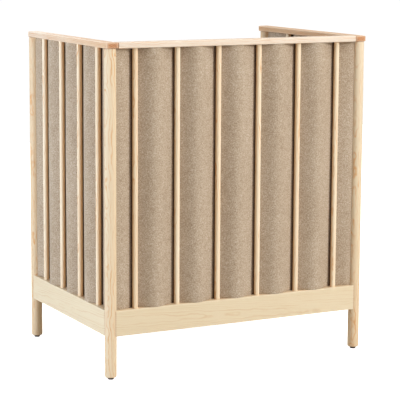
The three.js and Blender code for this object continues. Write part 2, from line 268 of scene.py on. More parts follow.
def cotton_material(name, pale, dark, pitch=0.0011, relief=0.0004):
    """Plain-woven cotton, with its threads across whichever way the surface faces."""
    material, tree, surface = shader(name)
    place = object_place(tree)
    drawn = pushed(tree, place, place, 120.0, (pitch * 0.6,) * 3)
    axes = node(tree, "SeparateXYZ", {0: drawn}).outputs
    waves = [maths(tree, "SINE", times(tree, a, math.pi / pitch)) for a in axes]
    facing = node(tree, "SeparateXYZ", {0: node(tree, "NewGeometry").outputs["Normal"]}).outputs
    weave = 0.5
    for i in range(3):
        crossing = times(tree, waves[(i + 1) % 3], waves[(i + 2) % 3])
        share = times(tree, facing[i], facing[i])
        weave = plus(tree, weave, times(tree, times(tree, crossing, share), 0.5))
    slub = noisy(tree, scaled(tree, place, (35, 500, 60)))
    cloud = noisy(tree, place, 11.0, 3.0)
    light = plus(tree, times(tree, weave, 0.45), span(tree, slub, 0.3, 0.7, 0.0, 0.3))
    light = plus(tree, light, span(tree, cloud, 0.3, 0.7, 0.0, 0.25))
    colour = mixed(tree, light, srgb(*dark), srgb(*pale))
    dress(tree, surface, colour, span(tree, slub, 0.3, 0.7, 0.86, 0.98), weave, 0.5, relief)
    surface.inputs["Specular IOR Level"].default_value = 0.2
    surface.inputs["Sheen Weight"].default_value = 0.2
    return material


def plastic_material():
    """Dark moulded plastic, scuffed where it drags on the floor."""
    material, tree, surface = shader("glide_plastic_moulded")
    place = object_place(tree)
    grain = noisy(tree, place, 1800.0)
    scuff = noisy(tree, scaled(tree, place, (300, 300, 40)), detail=3.0, roughness=0.6)
    colour = mixed(tree, span(tree, scuff, 0.45, 0.75), srgb(66, 66, 68), srgb(104, 103, 102))
    dress(tree, surface, colour, span(tree, scuff, 0.3, 0.7, 0.42, 0.62), grain, 0.35, 0.0001)
    return material


def steel_material():
    """Turned steel with a zinc bloom."""
    material, tree, surface = shader("zinc_plated_steel")
    place = object_place(tree)
    bloom = noisy(tree, place, 700.0, 3.0, 0.6)
    turned = noisy(tree, scaled(tree, place, (40, 40, 5000)), detail=1.0)
    colour = mixed(tree, span(tree, bloom, 0.3, 0.7), srgb(168, 168, 162), srgb(202, 200, 190))
    dress(tree, surface, colour, span(tree, bloom, 0.3, 0.7, 0.26, 0.46), turned, 0.2, 0.00005)
    surface.inputs["Metallic"].default_value = 1.0
    return material


WOODS = {
    "leg_wood": wood_material(
        "ash_legs", (232, 213, 181), (218, 160, 98), (196, 144, 102), 0.0075, 0.026),
    "top_rail_wood": wood_material(
        "ash_top_rails", (235, 221, 203), (220, 162, 108), (206, 146, 100), 0.0045, 0.012, 1.3),
    "lower_rail_wood": wood_material(
        "ash_lower_rails", (229, 212, 180), (212, 176, 128), (194, 142, 100), 0.0032, 0.005, 0.75),
    "bar_wood": wood_material(
        "ash_bars", (249, 232, 203), (226, 172, 114), (200, 142, 96), 0.005, 0.018),
}
FELT = felt_material()
PLYWOOD = plywood_material()
MAT_COTTON = cotton_material("mat_cotton_canvas", (222, 214, 200), (186, 175, 158))
PIPING_COTTON = cotton_material("mat_piping_cotton", (205, 194, 176), (160, 148, 130), 0.0007, 0.0002)
THREAD = cotton_material("mat_thread", (232, 226, 214), (196, 186, 170), 0.0004, 0.0001)
PLASTIC = plastic_material()
STEEL = steel_material()

# ---------------------------------------------------------------- shapes, as verts and faces

NOTHING = 1e-9


def lathe(profile, sides, centre=(0, 0)):
    """A body turned round an upright axis. The profile starts and ends on the axis."""
    verts, rows = [], []
    for radius, z in profile:
        if radius < NOTHING:
            rows.append([len(verts)] * sides)
            verts.append((centre[0], centre[1], z))
            continue
        rows.append(list(range(len(verts), len(verts) + sides)))
        for i in range(sides):
            a = 2 * math.pi * i / sides
            verts.append((centre[0] + radius * math.cos(a), centre[1] + radius * math.sin(a), z))
    faces = []
    for low, high in zip(rows, rows[1:]):
        for i in range(sides):
            j = (i + 1) % sides
            corners = [low[i], low[j], high[j], high[i]]
            faces.append(list(dict.fromkeys(corners)))
    return np.array(verts), [f for f in faces if len(f) > 2]


def tube_ring(profile, sides, centre):
    """A closed profile turned round an upright axis that it doesn't touch."""
    count = len(profile)
    verts = [(centre[0] + r * math.cos(a), centre[1] + r * math.sin(a), z)
             for a in np.linspace(0, 2 * math.pi, sides, endpoint=False) for r, z in profile]
    faces = []
    for i in range(sides):
        a, b = i * count, (i + 1) % sides * count
        for k in range(count):
            n = (k + 1) % count
            faces.append((a + k, b + k, b + n, a + n))
    return np.array(verts), faces


def rounded(radius, centre, start, end, steps):
    """Points of an arc in a turned profile. centre is (radius, z) and the angles are in degrees."""
    return [(centre[0] + radius * math.cos(math.radians(a)), centre[1] + radius * math.sin(math.radians(a)))
            for a in np.linspace(start, end, steps)]


def thread_profile(low, high, radius, depth, pitch):
    """A stretch of a turned profile with rings of thread."""
    points = []
    z = low
    while z < high - pitch:
        points += [(radius - depth, z), (radius - depth * 0.15, z + pitch * 0.4),
                   (radius, z + pitch * 0.5), (radius - depth * 0.15, z + pitch * 0.6)]
        z += pitch
    return points


def axis_lines(low, high, radius, ring, splits, arc=4):
    """Where a rounded block is cut along one axis: the arcs' steps, a ring past each, and any splits."""
    ring = min(ring, 0.3 * (high - low - 2 * radius))
    if radius > 0:
        near = [low + radius - radius * math.tan(math.radians(a)) for a in np.linspace(45, 0, arc + 1)]
    else:
        near = [low]
    near.append(near[-1] + ring)
    far = [low + high - n for n in reversed(near)]
    inner = [s for s in splits if near[-1] + 1e-6 < s < far[0] - 1e-6]
    lines = near + inner + far
    # the edges' mask, for their wear and painted highlight
    wear_and_highlight = np.zeros(len(lines))
    count = len(near) - 1
    if radius > 0:
        wear_and_highlight[:count] = np.linspace(1, 0.6, count)
        wear_and_highlight[-count:] = np.linspace(0.6, 1, count)
    else:
        wear_and_highlight[0] = wear_and_highlight[-1] = 1
    return np.array(lines), wear_and_highlight


def rounded_block(low, high, radii, splits=((), (), ()), ring=3 * MM):
    """A block with rounded edges, and a mask of its edges for their wear and painted highlight. A radius of
    0 leaves that axis's ends flat.
    """
    axes = [axis_lines(low[i], high[i], radii[i], ring, splits[i]) for i in range(3)]
    inner = np.array([[low[i] + radii[i], high[i] - radii[i]] for i in range(3)])
    index, verts, wear_and_highlight, faces = {}, [], [], []

    def vertex(key):
        if key not in index:
            p = np.array([axes[i][0][key[i]] for i in range(3)])
            centre = np.clip(p, inner[:, 0], inner[:, 1])
            away = np.array([(p[i] - centre[i]) / radii[i] if radii[i] > 0 else 0.0 for i in range(3)])
            length, most = np.linalg.norm(away), np.abs(away).max()
            if length > NOTHING:
                away = away / length * most
            verts.append(centre + away * np.array(radii))
            wear_and_highlight.append(sorted(axes[i][1][key[i]] for i in range(3))[1])
            index[key] = len(verts) - 1
        return index[key]

    for i in range(3):
        a, b = (i + 1) % 3, (i + 2) % 3
        for side in (0, len(axes[i][0]) - 1):
            for m in range(len(axes[a][0]) - 1):
                for n in range(len(axes[b][0]) - 1):
                    square = [(m, n), (m + 1, n), (m + 1, n + 1), (m, n + 1)]
                    corners = []
                    for p, q in (square if side else reversed(square)):
                        key = [0, 0, 0]
                        key[i], key[a], key[b] = side, p, q
                        corners.append(vertex(tuple(key)))
                    faces.append(corners)
    return np.array(verts), faces, np.array(wear_and_highlight)


def tube(path, radius, sides, closed):
    """A round cord along points."""
    path = np.asarray(path)
    ahead = np.roll(path, -1, 0) - np.roll(path, 1, 0) if closed else np.gradient(path, axis=0)
    ahead /= np.linalg.norm(ahead, axis=1, keepdims=True)
    side = np.cross(ahead, (0, 0, 1.0))
    side /= np.linalg.norm(side, axis=1, keepdims=True)
    up = np.cross(side, ahead)
    verts = []
    for k in range(len(path)):
        for a in np.linspace(0, 2 * math.pi, sides, endpoint=False):
            verts.append(path[k] + side[k] * radius * math.cos(a) + up[k] * radius * math.sin(a))
    faces = []
    count = len(path)
    for k in range(count if closed else count - 1):
        a, b = k * sides, (k + 1) % count * sides
        for s in range(sides):
            n = (s + 1) % sides
            faces.append((a + s, a + n, b + n, b + s))
    if not closed:
        faces += [tuple(range(sides))[::-1], tuple(range((count - 1) * sides, count * sides))]
    return np.array(verts), faces


def joined(shapes):
    """Several shapes as one."""
    verts, faces = [], []
    for v, f in shapes:
        faces += [[i + len(verts) for i in corners] for corners in f]
        verts += [tuple(p) for p in v]
    return verts, faces


# ---------------------------------------------------------------- pieces

SHARP = 35  # degrees between two faces above which the edge stays sharp


def piece(name, verts, faces, material, body, slot, replaces=(), sharp=SHARP):
    """A mesh object that rides on a body, takes the given material and stands for CAD nodes. Its slot is not
    used.
    """
    mesh = bpy.data.meshes.new(name)
    mesh.from_pydata([tuple(v) for v in verts], [], [tuple(f) for f in faces])
    mesh.materials.append(material)
    mesh.validate()
    mesh.update()
    made = bpy.data.objects.new(name, mesh)
    bpy.context.scene.collection.objects.link(made)
    smooth(made, sharp)
    if body:
        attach(made, body)
        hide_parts(*replaces)
    return made


def wooden(name, verts, faces, slot, node_name, wear_and_highlight=None):
    """A wooden piece of the frame, with its edges' mask for their wear and painted highlight."""
    made = piece(name, verts, faces, WOODS[slot], "frame", slot, [node_name])
    if wear_and_highlight is not None:
        add_attribute(made.data, "edge", wear_and_highlight)
    return made


def smooth(made, sharp):
    made.data.shade_smooth()
    if sharp:
        made.data.set_sharp_from_angle(angle=math.radians(sharp))


def add_attribute(mesh, name, values, kind="FLOAT"):
    added = mesh.attributes.get(name) or mesh.attributes.new(name, kind, "POINT")
    key = "vector" if kind == "FLOAT_VECTOR" else "value"
    added.data.foreach_set(key, np.asarray(values, np.float32).ravel())


def coordinates(mesh):
    co = np.zeros(len(mesh.vertices) * 3)
    mesh.vertices.foreach_get("co", co)
    return co.reshape(-1, 3)


def normals(mesh):
    facing = np.zeros(len(mesh.vertices) * 3)
    mesh.vertex_normals.foreach_get("vector", facing)
    return facing.reshape(-1, 3)


def set_grain(made, axis, seed, pith=(50 * MM, 30 * MM), tilt=(0.0, 0.0), tone=(0.5, 0.5), top_painted_shade=0.0):
    """Gives a wooden piece its own place in a tree, along its grain and across from the pith, and a warmth
    from 0 to 1 at each of its ends, with more on what faces up as painted shade, warmer and darker."""
    co = coordinates(made.data)
    local = co - (co.min(0) + co.max(0)) / 2
    along = local[:, axis]
    across = [i for i in range(3) if i != axis]
    grain = [along + 3.7 * seed] + [local[:, i] + p + t * along for i, p, t in zip(across, pith, tilt)]
    facing = normals(made.data)
    part = along / max(along.max(), NOTHING) / 2 + 0.5
    upward_shade_mask = np.clip((facing[:, 2] - 0.75) / 0.2, 0, 1)
    add_attribute(made.data, "grain", np.stack(grain, 1), "FLOAT_VECTOR")
    add_attribute(made.data, "end_grain", np.clip((np.abs(facing[:, axis]) - 0.55) / 0.35, 0, 1))
    add_attribute(made.data, "tone", tone[0] + (tone[1] - tone[0]) * part + top_painted_shade * upward_shade_mask)
    if "edge" not in made.data.attributes:
        add_attribute(made.data, "edge", np.zeros(len(co)))


def apply_modifiers(made):
    result = bpy.data.meshes.new_from_object(made.evaluated_get(bpy.context.evaluated_depsgraph_get()))
    made.modifiers.clear()
    made.data = result


def cut(made, cutters):
    """Takes closed shapes out of a piece."""
    verts, faces = joined(cutters)
    mesh = bpy.data.meshes.new("cutter")
    mesh.from_pydata(verts, [], faces)
    tool = bpy.data.objects.new("cutter", mesh)
    bpy.context.scene.collection.objects.link(tool)
    change = made.modifiers.new("cut", "BOOLEAN")
    change.operation, change.solver, change.object = "DIFFERENCE", "EXACT", tool
    bpy.context.view_layer.update()
    apply_modifiers(made)
    bpy.data.objects.remove(tool)
    smooth(made, SHARP)


def box_of(name):
    low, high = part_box(name)
    return np.array(low), np.array(high)


# ---------------------------------------------------------------- the pen's plan

LEG_NAMES = ("front_left", "front_right", "back_left", "back_right")
LEG_RADIUS = 17.5 * MM
GAP = 0.3 * MM  # between pieces that meet
OVERCUT = 1 * MM  # how far a cutting shape runs past the face it cuts
HALF_PITCH = 69 * MM  # from a bar outside the felt to the next one inside it
TOP_RAIL_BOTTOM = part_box("top_rail_front")[0].z
LOWER_RAIL_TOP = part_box("lower_rail_front")[1].z
LEG_AT = {n: sum(box_of(f"leg_{n}")) / 2 for n in LEG_NAMES}


class Wall:
    """One side of the pen: x runs along it from leg to leg and y across it, inwards."""

    def __init__(self, name, start, end, bars):
        self.name, self.bars = name, bars
        self.start, self.end = (np.array(LEG_AT[n][:2]) for n in (start, end))
        self.span = float(np.linalg.norm(self.end - self.start))
        self.along = (self.end - self.start) / self.span
        self.inward = np.array([-self.along[1], self.along[0]])
        self.axis = int(np.argmax(np.abs(self.along)))
        self.first = (self.span - (bars - 1) * HALF_PITCH) / 2 if bars else 0

    def world(self, local):
        local = np.atleast_2d(local)
        flat = self.start + np.outer(local[:, 0], self.along) + np.outer(local[:, 1], self.inward)
        return np.column_stack([flat, local[:, 2]])


FELT_WALLS = (
    Wall("front", "front_left", "front_right", 11),
    Wall("left", "back_left", "front_left", 7),
    Wall("right", "front_right", "back_right", 7),
)
WALLS = FELT_WALLS + (Wall("back", "back_right", "back_left", 0),)


def bar_places(wall):
    return [wall.first + i * HALF_PITCH for i in range(wall.bars)]


# ---------------------------------------------------------------- legs, rails and bars

LEG_CHAMFER, LEG_SOFT = 2.5 * MM, 0.6 * MM
LEG_TONES = {  # at the foot and at the top
    "front_left": (0.55, 0.5), "front_right": (0.65, 0.35),
    "back_left": (0.66, 0.66), "back_right": (0.8, 0.7)}
GLIDE_HOLE_RADIUS, GLIDE_HOLE_DEPTH = 6.3 * MM, 38 * MM
SPIGOT_RADIUS, SPIGOT_LENGTH = 8 * MM, 9 * MM
SPIGOT_SOCKET_RADIUS, SPIGOT_SOCKET_DEPTH = 8.3 * MM, 10 * MM
FELT_AT_LEG = -2 * MM  # across the wall, from the legs' middles
GROOVE_HALF, GROOVE_BOTTOM, GROOVE_TOP = 1.8 * MM, 9.5 * MM, TOP_RAIL_BOTTOM - 1 * MM
TOP_RAIL_CORNER, TOP_RAIL_EDGE, TOP_RAIL_BUTT = 5 * MM, 2.6 * MM, 1.6 * MM
TOP_RAIL_FINISH = {  # the tone at each end, and the place in the tree
    # The right rail's deep, warm tone also stands in for the shade on its inside face: painted shade.
    "front": ((0.5, 0.5), 11.3), "left": ((0.95, 0.6), 12.1), "right": ((0.95, 1.0), 13.4)}
LOWER_RAIL_OUT, LOWER_RAIL_IN, LOWER_RAIL_EDGE = -15.5 * MM, 17.5 * MM, 1.6 * MM
LOWER_RAIL_TONES = {"front": 0.5, "left": 0.46, "right": 0.55, "back": 0.5}
BAR_RADIUS, BAR_CHAMFER = 8.2 * MM, 1.5 * MM
BAR_PAINTED_SHADE = 0.5  # painted shade: how much warmer and darker a bar is made where it faces the felt
BAR_SOCKET_RADIUS = BAR_RADIUS + 0.15 * MM
BAR_SOCKET_IN_TOP, BAR_SOCKET_IN_LOWER = 10.2 * MM, 12.2 * MM


def leg_profile(bottom, shoulder):
    """A leg's outline, from the glide's hole in its foot to the spigot on its top."""
    hole, hole_top, soft = GLIDE_HOLE_RADIUS, bottom + GLIDE_HOLE_DEPTH, LEG_SOFT
    foot, spigot_top = LEG_RADIUS - LEG_CHAMFER - soft, shoulder + SPIGOT_LENGTH
    profile = [(0, hole_top), (hole, hole_top), (hole, bottom + soft), (hole + soft, bottom), (foot, bottom)]
    profile += rounded(soft * 1.6, (foot, bottom + soft * 1.6), -90, -45, 3)[1:]
    profile += [(LEG_RADIUS - soft * 0.3, bottom + LEG_CHAMFER - soft * 0.5)]
    profile += [(LEG_RADIUS, bottom + LEG_CHAMFER + soft)]
    profile += [(LEG_RADIUS, z) for z in np.linspace(50 * MM, shoulder - soft, 20)]
    profile += [(LEG_RADIUS - soft, shoulder), (SPIGOT_RADIUS, shoulder)]
    return profile + [(SPIGOT_RADIUS, spigot_top), (0, spigot_top)]


def felt_grooves(at):
    """The slots in the leg at a place that hold the felt's ends."""
    grooves = []
    for wall in FELT_WALLS:
        for end, x, inward in ((wall.start, 0, 1), (wall.end, wall.span, -1)):
            if np.linalg.norm(end - at[:2]) > LEG_RADIUS:
                continue
            near, far = sorted((x + inward * GROOVE_BOTTOM, x + inward * 2 * LEG_RADIUS))
            low = (near, FELT_AT_LEG - GROOVE_HALF, LOWER_RAIL_TOP)
            high = (far, FELT_AT_LEG + GROOVE_HALF, GROOVE_TOP)
            v, f, _ = rounded_block(np.array(low), np.array(high), (0, 0, 0))
            grooves.append((wall.world(v), f))
    return grooves


def make_legs():
    bottom = box_of("leg_front_left")[0][2]
    for i, name in enumerate(LEG_NAMES):
        at = LEG_AT[name]
        v, f = lathe(leg_profile(bottom, TOP_RAIL_BOTTOM - GAP), 96, at[:2])
        made = wooden(f"leg_{name}_turned", v, f, "leg_wood", f"leg_{name}")
        cut(made, felt_grooves(at))
        pith = (50 * MM, 45 * MM) if name == "front_right" else (34 * MM, (12 + 6 * i) * MM)
        set_grain(made, 2, i + 1, pith, (0.012, -0.01), LEG_TONES[name])


def socket(x, wall, radius, low, high):
    """A round hole, to be cut at x along a wall."""
    v, f = lathe([(0, low), (radius, low), (radius, high), (0, high)], 32)
    v[:, 0] += x
    return wall.world(v), f


def make_top_rails():
    """The wide rail stands between the short ones, which lie on the legs' spigots."""
    below = TOP_RAIL_BOTTOM - OVERCUT
    for wall in FELT_WALLS:
        node_name = f"top_rail_{wall.name}"
        between = wall.name == "front"
        ends = (TOP_RAIL_BUTT, TOP_RAIL_EDGE) if between else (TOP_RAIL_CORNER, TOP_RAIL_CORNER)
        v, f, wear_and_highlight = rounded_block(*box_of(node_name), (*ends, TOP_RAIL_EDGE))
        made = wooden(f"{node_name}_planed", v, f, "top_rail_wood", node_name, wear_and_highlight)
        tools = [socket(x, wall, BAR_SOCKET_RADIUS, below, TOP_RAIL_BOTTOM + BAR_SOCKET_IN_TOP)
                 for x in bar_places(wall)]
        if not between:
            tools += [socket(x, wall, SPIGOT_SOCKET_RADIUS, below, TOP_RAIL_BOTTOM + SPIGOT_SOCKET_DEPTH)
                      for x in (0, wall.span)]
        cut(made, tools)
        tone, seed = TOP_RAIL_FINISH[wall.name]
        set_grain(made, wall.axis, seed, (22 * MM, 30 * MM), (0.02, 0.006), tone)


def make_lower_rails():
    """Each rail is coped to the legs at its outside, and mitred to its neighbour behind them."""
    reach, end_wear_and_highlight = LEG_RADIUS + GAP, 0.3
    across = np.linspace(-14 * MM, 17 * MM, 16)
    for i, wall in enumerate(WALLS):
        node_name = f"lower_rail_{wall.name}"
        bottom, top = (c[2] for c in box_of(node_name))
        low, high = np.array([0, LOWER_RAIL_OUT, bottom]), np.array([1.0, LOWER_RAIL_IN, top])
        radii = (0, LOWER_RAIL_EDGE, LOWER_RAIL_EDGE)
        v, f, wear_and_highlight = rounded_block(low, high, radii, ((), across, ()), 4 * MM)
        y = v[:, 1]
        end = np.maximum(np.sqrt(np.maximum(reach ** 2 - y ** 2, 0)), y + GAP * math.sqrt(2))
        v[:, 0] = end + (wall.span - 2 * end) * v[:, 0]
        # the rail ends get less of the edge wear and painted highlight
        wear_and_highlight[(v[:, 0] < end + 1e-5) | (v[:, 0] > wall.span - end - 1e-5)] = end_wear_and_highlight
        made = wooden(f"{node_name}_planed", wall.world(v), f, "lower_rail_wood", node_name, wear_and_highlight)
        if wall.bars:
            hole = (BAR_SOCKET_RADIUS, LOWER_RAIL_TOP - BAR_SOCKET_IN_LOWER, LOWER_RAIL_TOP + OVERCUT)
            cut(made, [socket(x, wall, *hole) for x in bar_places(wall)])
        tone = LOWER_RAIL_TONES[wall.name]
        # the lower rails' top faces get painted shade, warmer and darker
        set_grain(made, wall.axis, i + 20, (55 * MM, 12 * MM), (0.008, 0.05), (tone, tone), 0.1)


def make_bars():
    bottom, top = (c[2] for c in box_of("bar_front_1"))
    narrow, plain = BAR_RADIUS - BAR_CHAMFER, 10 * BAR_CHAMFER
    profile = [(0, bottom), (narrow, bottom), (BAR_RADIUS, bottom + BAR_CHAMFER)]
    profile += [(BAR_RADIUS, z) for z in np.linspace(bottom + plain, top - plain, 14)]
    profile += [(BAR_RADIUS, top - BAR_CHAMFER), (narrow, top), (0, top)]
    draw = np.random.default_rng(7)
    least, most = (0.012, -0.02, 0.38, -0.014), (0.05, 0.02, 0.66, 0.014)
    for wall in FELT_WALLS:
        for i, x in enumerate(bar_places(wall)):
            v, f = lathe(profile, 40)
            towards_felt = v[:, 1] * (-1) ** i / BAR_RADIUS
            v[:, 0] += x
            node_name = f"bar_{wall.name}_{i + 1}"
            made = wooden(f"{node_name}_dowel", wall.world(v), f, "bar_wood", node_name)
            far, side, tone, lean = draw.uniform(least, most)
            set_grain(made, 2, 30 + i * 1.3 + len(wall.name) * 7.1, (far, side), (lean, -lean))
            # painted shade on the side of the bar that faces the felt
            add_attribute(made.data, "tone", tone + BAR_PAINTED_SHADE * np.clip((towards_felt + 0.8) / 0.9, 0, 1))


make_legs()
make_top_rails()
make_lower_rails()
make_bars()

# ---------------------------------------------------------------- felt walls

FELT_HALF = 1.5 * MM  # half its thickness
FELT_CREST = -15.4 * MM
FELT_VALLEY = 12.8 * MM
FELT_LEAN = {"front": 0.35, "left": -0.4, "right": 0.4}
FELT_STRAIGHT = 24 * MM
FELT_END = 10 * MM
FELT_SHADE_REACH = 11.5 * MM  # how far the painted shade beside a bar reaches each way
FELT_STEP = 2.9 * MM
FELT_LEVELS, FELT_CAP_STEPS = 92, 5
FELT_STILL, FELT_EASE = 26 * MM, 50 * MM  # where the felt starts to sway, and over how far
FELT_SWAY, FELT_RIPPLE = 1.3 * MM, 0.25 * MM


def felt_middle(x, wall):
    """The middle of the felt's thickness across the wall: inside the odd bars, outside the even ones."""
    from_leg = np.minimum(x, wall.span - x)
    part = np.clip((from_leg - FELT_STRAIGHT) / (wall.first - FELT_STRAIGHT), 0, 1)
    lead = FELT_AT_LEG + (FELT_VALLEY - FELT_AT_LEG) * (1 - np.cos(math.pi * part)) / 2
    half, mean = (FELT_VALLEY - FELT_CREST) / 2, (FELT_VALLEY + FELT_CREST) / 2
    turn = math.pi * (x - wall.first) / HALF_PITCH
    wave = mean + half * np.cos(turn + FELT_LEAN[wall.name] * np.sin(turn / 2) ** 2)
    return np.where(from_leg < wall.first, lead, wave)


def felt_loop(bottom, top):
    """Points round the felt's section as (side, z). Side is -1 on its outer face and 1 on its inner one."""
    levels = np.linspace(bottom + FELT_HALF, top - FELT_HALF, FELT_LEVELS)
    turn = np.radians(np.linspace(0, 180, FELT_CAP_STEPS + 2))[1:-1]
    loop = [(-1.0, z) for z in levels]
    loop += [(-math.cos(a), top - FELT_HALF + FELT_HALF * math.sin(a)) for a in turn]
    loop += [(1.0, z) for z in levels[::-1]]
    return loop + [(math.cos(a), bottom + FELT_HALF - FELT_HALF * math.sin(a)) for a in turn]


def felt_faces(rows, columns):
    """Faces of a closed sheet whose rows go round its section, with both of its ends filled."""
    half, caps = FELT_LEVELS, FELT_CAP_STEPS
    faces = []
    for i in range(rows):
        a, b = i * columns, (i + 1) % rows * columns
        faces += [(a + k, a + k + 1, b + k + 1, b + k) for k in range(columns - 1)]
    for column in (0, columns - 1):
        left = [i * columns + column for i in range(half)]
        right = [(2 * half + caps - 1 - i) * columns + column for i in range(half)]
        for i in range(half - 1):
            quad = [left[i], left[i + 1], right[i + 1], right[i]]
            faces.append(quad if column == 0 else quad[::-1])
        upper = [(half - 1 + i) * columns + column for i in range(caps + 2)]
        lower = [((2 * half + caps - 1 + i) % rows) * columns + column for i in range(caps + 2)]
        for end in (upper, lower):
            faces.append(end if column else end[::-1])
    return faces


def make_felt(wall):
    node_name = f"felt_wall_{wall.name}"
    bottom, top = LOWER_RAIL_TOP, box_of(node_name)[1][2]
    xs = np.linspace(FELT_END, wall.span - FELT_END, int(wall.span / FELT_STEP))
    y = felt_middle(xs, wall)
    slope = np.gradient(y, xs)
    length = np.hypot(1, slope)
    normal = np.stack([-slope / length, 1 / length], 1)
    loop = felt_loop(bottom, top)
    ease = np.clip(np.minimum(xs - FELT_STILL, wall.span - FELT_STILL - xs) / FELT_EASE, 0, 1)
    verts = np.zeros((len(loop), len(xs), 3))
    for row, (side, z) in enumerate(loop):
        sway = np.array([noise.noise(Vector((x * 9, z * 2.3, 5.0 * len(wall.name)))) for x in xs])
        ripple = np.array([noise.noise(Vector((x * 40, z * 26, 2.0))) for x in xs])
        shift = (sway * FELT_SWAY + ripple * FELT_RIPPLE) * ease
        verts[row, :, 0] = xs + normal[:, 0] * side * FELT_HALF
        verts[row, :, 1] = y + shift + normal[:, 1] * side * FELT_HALF
        verts[row, :, 2] = z
    flat, faces = wall.world(verts.reshape(-1, 3)), felt_faces(len(loop), len(xs))
    made = piece(f"{node_name}_cloth", flat, faces, FELT, "frame", "felt", [node_name], sharp=0)
    rub = np.zeros(verts.shape[:2])
    # Painted shade: the felt's face against each bar is darkened in a band, where the crevice beside the bar
    # is in shade.
    for i, x in enumerate(bar_places(wall)):
        shade_band = np.exp(-((xs - x) / FELT_SHADE_REACH) ** 6)
        shaded_rows = [row for row, (side, _) in enumerate(loop) if side * (-1) ** i < 0]
        rub[shaded_rows] = np.maximum(rub[shaded_rows], shade_band)
    add_attribute(made.data, "rub", rub)


for felt_wall in FELT_WALLS:
    make_felt(felt_wall)

# ---------------------------------------------------------------- floor, feet and tongues

CLEAT_EDGE, BOARD_EDGE, TONGUE_EDGE = 1.5 * MM, 1.2 * MM, 0.8 * MM
PAD_RADIUS, PAD_HEIGHT, PAD_LIP = 9 * MM, 6.2 * MM, 0.5 * MM
STEM_RADIUS, STEM_THREAD = 4 * MM, (0.62 * MM, 1.25 * MM)  # a thread's depth and pitch
INSERT_RADIUS, INSERT_BORE, INSERT_THREAD = 6 * MM, 4.4 * MM, (0.8 * MM, 2.5 * MM)


def make_floor():
    for wall in WALLS:
        node_name = f"base_cleat_{wall.name}"
        v, f, wear_and_highlight = rounded_block(*box_of(node_name), (CLEAT_EDGE,) * 3)
        made = wooden(f"{node_name}_batten", v, f, "leg_wood", node_name, wear_and_highlight)
        set_grain(made, wall.axis, 70 + len(wall.name), (30 * MM, 20 * MM), (0.01, 0.0), (0.55, 0.55))
    v, f, _ = rounded_block(*box_of("base_board"), (BOARD_EDGE,) * 3)
    made = piece("base_board_ply", v, f, PLYWOOD, "frame", "base_plywood", ["base_board"])
    upright = np.abs(normals(made.data)[:, 2])
    add_attribute(made.data, "end_grain", np.clip((0.8 - upright) / 0.4, 0, 1))


def glide_profile(low, high):
    """A glide's outline: a hollowed pad with a groove round it, and a threaded stem."""
    pad, stem, waist, pad_top = PAD_RADIUS, STEM_RADIUS, PAD_RADIUS - PAD_LIP, low + PAD_HEIGHT
    toe, brow = 1.4 * MM, 0.8 * MM
    profile = [(0, low + PAD_LIP), (5.2 * MM, low + PAD_LIP), (5.8 * MM, low)]
    profile += rounded(toe, (pad - toe, low + toe), -90, 0, 6)
    profile += [(pad, low + 3.4 * MM), (waist, low + 3.7 * MM), (waist, low + 4.1 * MM)]
    profile += rounded(brow, (pad - 0.9 * MM, pad_top - brow), 0, 90, 5)
    profile += [(5.4 * MM, pad_top), (stem, pad_top)]
    profile += thread_profile(pad_top + 0.2 * MM, high - 1.5 * MM, stem, *STEM_THREAD)
    return profile + [(stem - 0.6 * MM, high - 1.2 * MM), (stem - 1.2 * MM, high), (0, high)]


def insert_profile(low, high):
    """An insert's closed outline: a plain collar, a coarse thread outside and a smooth bore."""
    outer, bore = INSERT_RADIUS, INSERT_BORE
    profile = [(bore + 0.4 * MM, low), (outer - 0.2 * MM, low)]
    profile += [(outer, low + 0.2 * MM), (outer, low + 1.2 * MM)]
    profile += thread_profile(low + 1.8 * MM, high - 1 * MM, outer, *INSERT_THREAD)
    profile += [(outer - 0.9 * MM, high), (bore + 0.3 * MM, high)]
    return profile + [(bore, high - 0.4 * MM), (bore, low + 0.4 * MM)]


def make_feet():
    for name in LEG_NAMES:
        glide, insert = f"glide_{name}", f"threaded_insert_{name}"
        low, high = box_of(glide)
        v, f = lathe(glide_profile(low[2], high[2]), 48, ((low + high) / 2)[:2])
        piece(f"{glide}_foot", v, f, PLASTIC, glide, "glide_plastic", [glide])
        low, high = box_of(insert)
        v, f = tube_ring(insert_profile(low[2], high[2]), 48, ((low + high) / 2)[:2])
        piece(f"insert_{name}_sleeve", v, f, STEEL, "frame", "insert_steel", [insert])


def make_tongues():
    for side in ("left", "right"):
        node_name = f"rail_tongue_{side}"
        v, f, wear_and_highlight = rounded_block(*box_of(node_name), (TONGUE_EDGE,) * 3, ring=1 * MM)
        made = wooden(f"{node_name}_fillet", v, f, "leg_wood", node_name, wear_and_highlight)
        set_grain(made, 0, 90 + len(side), tone=(0.6, 0.6))


make_floor()
make_feet()
make_tongues()

# ---------------------------------------------------------------- the mat

QUILT = (4, 3)  # squares along x and y
QUILT_WIDTH, QUILT_DEPTH, QUILT_CROWN = 5.5 * MM, 7.5 * MM, 1.5 * MM
MAT_INSET, MAT_SLACK, MAT_SWELL = 5 * MM, 4 * MM, 5 * MM  # the cover before and after it is filled
MAT_CORNER, MAT_EDGE = 22 * MM, 9 * MM
VOXEL = 7 * MM
FILL_FRAMES = 20
PIPE_RADIUS = 2.2 * MM
STITCH_LENGTH, STITCH_GAP, STITCH_RADIUS, STITCH_MARGIN = 3.4 * MM, 1.6 * MM, 0.35 * MM, 26 * MM


